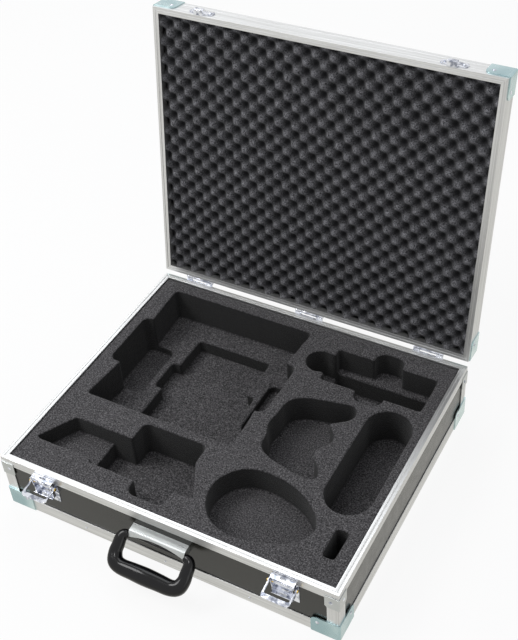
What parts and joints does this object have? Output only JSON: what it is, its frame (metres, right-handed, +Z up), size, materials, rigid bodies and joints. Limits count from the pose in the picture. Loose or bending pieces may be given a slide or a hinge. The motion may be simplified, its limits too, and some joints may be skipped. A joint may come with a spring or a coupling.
{
  "type": "microphone case",
  "caption": "Shallow metal-framed equipment case with a hinged lid, draw latches, a carrying handle, cut foam for microphones in the base and convoluted foam in the lid.",
  "frame": {"origin": "centre of the footprint of the whole open case, its handle and open lid included, on the surface it stands on", "axes": "+X to the right along the front, +Y from the front to the hinges, +Z up"},
  "size_m": [0.6068, 0.6774, 0.6366],
  "materials": {
    "aluminium": "satin anodised",
    "zinc": "passivated zinc plate",
    "panel": "laminated board, fine dark texture",
    "base_foam": "cut foam",
    "lid_foam": "convoluted foam",
    "handle": "moulded, glossy",
    "bracket": "satin zinc steel",
    "chrome": "bright nickel",
    "brass": "yellow plated"
  },
  "bodies": {
    "base": {"bottom_panel": "panel", "front_panel": "panel", "back_panel": "panel", "left_panel": "panel", "right_panel": "panel", "front_bottom_angle": "aluminium", "back_bottom_angle": "aluminium", "left_bottom_angle": "aluminium", "right_bottom_angle": "aluminium", "base_front_rim": "aluminium", "base_back_rim": "aluminium", "base_left_rim": "aluminium", "base_right_rim": "aluminium", "front_left_post": "aluminium", "front_right_post": "aluminium", "back_right_post": "aluminium", "back_left_post": "aluminium", "base_cap_front_left": "zinc", "base_cap_front_right": "zinc", "base_cap_back_right": "zinc", "base_cap_back_left": "zinc", "rim_braces": "bracket", "base_rivets": "chrome", "foam_floor_pad": "base_foam", "foam_insert": "base_foam", "handle_bracket": "bracket", "hinge_pins": "chrome", "hinge_base_leaf_left": "chrome", "hinge_base_leaf_middle": "chrome", "hinge_base_leaf_right": "chrome", "latch_plate_left": "chrome", "latch_plate_right": "chrome", "latch_pin_left": "chrome", "latch_pin_right": "chrome"},
    "lid": {"lid_panel": "panel", "lid_foam": "lid_foam", "lid_rivets": "chrome", "keeper_left": "chrome", "keeper_right": "chrome", "lid_front_rail": "aluminium", "lid_back_rail": "aluminium", "lid_left_rail": "aluminium", "lid_right_rail": "aluminium", "lid_cap_front_left": "zinc", "lid_cap_front_right": "zinc", "lid_cap_back_right": "zinc", "lid_cap_back_left": "zinc", "hinge_lid_leaf_left": "chrome", "hinge_lid_leaf_middle": "chrome", "hinge_lid_leaf_right": "chrome"},
    "handle": {"handle": "handle"},
    "lever_left": {"latch_lever_left": "chrome"},
    "bail_left": {"latch_bail_left": "chrome", "bail_pins_left": "brass"},
    "lever_right": {"latch_lever_right": "chrome"},
    "bail_right": {"latch_bail_right": "chrome", "bail_pins_right": "brass"}
  },
  "joints": [
    {"name": "lid_hinge", "type": "hinge", "parent": "base", "child": "lid", "pos_m": [0, 0.24105, 0.1179], "axis": [1, 0, 0], "range_deg": [0, 97]},
    {"name": "handle_swing", "type": "hinge", "parent": "base", "child": "handle", "pos_m": [0, -0.28436, 0.069], "axis": [1, 0, 0], "range_deg": [-125, 50]},
    {"name": "lever_left", "type": "hinge", "parent": "base", "child": "lever_left", "pos_m": [-0.214, -0.27936, 0.0994], "axis": [1, 0, 0], "range_deg": [-95, 0]},
    {"name": "bail_left", "type": "hinge", "parent": "lever_left", "child": "bail_left", "pos_m": [-0.214, -0.27836, 0.094], "axis": [-1, 0, 0], "range_deg": [-64, 98]},
    {"name": "lever_right", "type": "hinge", "parent": "base", "child": "lever_right", "pos_m": [0.214, -0.27936, 0.0994], "axis": [1, 0, 0], "range_deg": [-95, 0]},
    {"name": "bail_right", "type": "hinge", "parent": "lever_right", "child": "bail_right", "pos_m": [0.214, -0.27836, 0.094], "axis": [-1, 0, 0], "range_deg": [-64, 98]}
  ]
}
